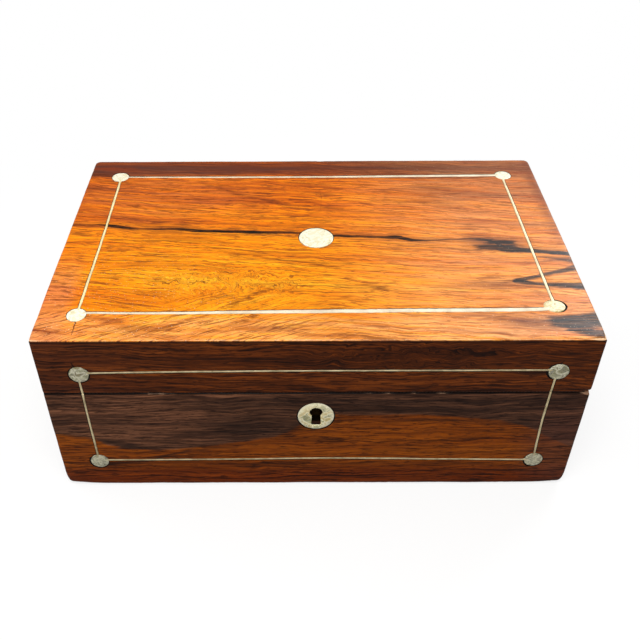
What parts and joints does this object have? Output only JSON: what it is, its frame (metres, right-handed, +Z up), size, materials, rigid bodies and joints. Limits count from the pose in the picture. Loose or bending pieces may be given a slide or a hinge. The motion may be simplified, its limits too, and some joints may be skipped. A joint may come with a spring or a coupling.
{
  "type": "glove box",
  "caption": "Long low veneered wooden case with a back-hinged lid, a keyhole lock, and disc and line inlay on its top and front, lined to hold gloves.",
  "frame": {"origin": "centre of the case's underside, on the surface that it rests on", "axes": "+X along the case's length to the right as seen from the front, +Y from the front to the hinges at the back, +Z up"},
  "size_m": [0.254, 0.16, 0.099],
  "materials": {
    "rosewood_veneer": "french polished, worn",
    "rosewood_rim": "polished",
    "mahogany_carcass": "planed, unpolished",
    "mother_of_pearl": "polished shell",
    "pewter_line": "dull tarnished pewter",
    "brass": "aged satin",
    "spring_steel": "blued",
    "quilted_silk": "padded quilted satin",
    "velvet_lining": "short pile velvet",
    "baize": "felted wool"
  },
  "bodies": {
    "base": {"base_back_board": "mahogany_carcass", "base_back_veneer": "rosewood_veneer", "base_baize": "baize", "base_bottom_board": "mahogany_carcass", "base_floor_pad": "quilted_silk", "base_front_board": "mahogany_carcass", "base_front_discs": "mother_of_pearl", "base_front_veneer": "rosewood_veneer", "base_left_board": "mahogany_carcass", "base_left_veneer": "rosewood_veneer", "base_line_bottom": "pewter_line", "base_line_left": "pewter_line", "base_line_right": "pewter_line", "base_right_board": "mahogany_carcass", "base_right_veneer": "rosewood_veneer", "base_rim": "rosewood_rim", "base_wall_lining": "velvet_lining", "drill_pin": "brass", "escutcheon": "mother_of_pearl", "hinge_base_screws": "brass", "hinge_left_base_leaf": "brass", "hinge_left_pin": "brass", "hinge_right_base_leaf": "brass", "hinge_right_pin": "brass", "lock_cap": "brass", "lock_plate": "brass", "lock_screws": "brass", "lock_ward": "brass"},
    "lid": {"hinge_left_lid_leaf": "brass", "hinge_lid_screws": "brass", "hinge_right_lid_leaf": "brass", "lid_back_board": "mahogany_carcass", "lid_back_veneer": "rosewood_veneer", "lid_centre_disc": "mother_of_pearl", "lid_corner_discs": "mother_of_pearl", "lid_front_board": "mahogany_carcass", "lid_front_discs": "mother_of_pearl", "lid_front_line_left": "pewter_line", "lid_front_line_right": "pewter_line", "lid_front_line_top": "pewter_line", "lid_front_veneer": "rosewood_veneer", "lid_left_board": "mahogany_carcass", "lid_left_veneer": "rosewood_veneer", "lid_pad": "quilted_silk", "lid_right_board": "mahogany_carcass", "lid_right_veneer": "rosewood_veneer", "lid_rim": "rosewood_rim", "lid_top_board": "mahogany_carcass", "lid_top_line_back": "pewter_line", "lid_top_line_front": "pewter_line", "lid_top_line_left": "pewter_line", "lid_top_line_right": "pewter_line", "lid_top_veneer": "rosewood_veneer", "lid_wall_lining": "velvet_lining", "link_plate": "brass", "link_screws": "brass", "link_staples": "brass"},
    "bolt": {"lock_bolt": "brass", "bolt_spring": "spring_steel"}
  },
  "joints": [
    {"name": "lid_hinge", "type": "hinge", "parent": "base", "child": "lid", "pos_m": [0, 0.0774, 0.06615], "axis": [-1, 0, 0], "range_deg": [0, 98]},
    {"name": "bolt_slide", "type": "slide", "parent": "base", "child": "bolt", "axis": [1, 0, 0], "range_m": [0, 0.005]}
  ]
}
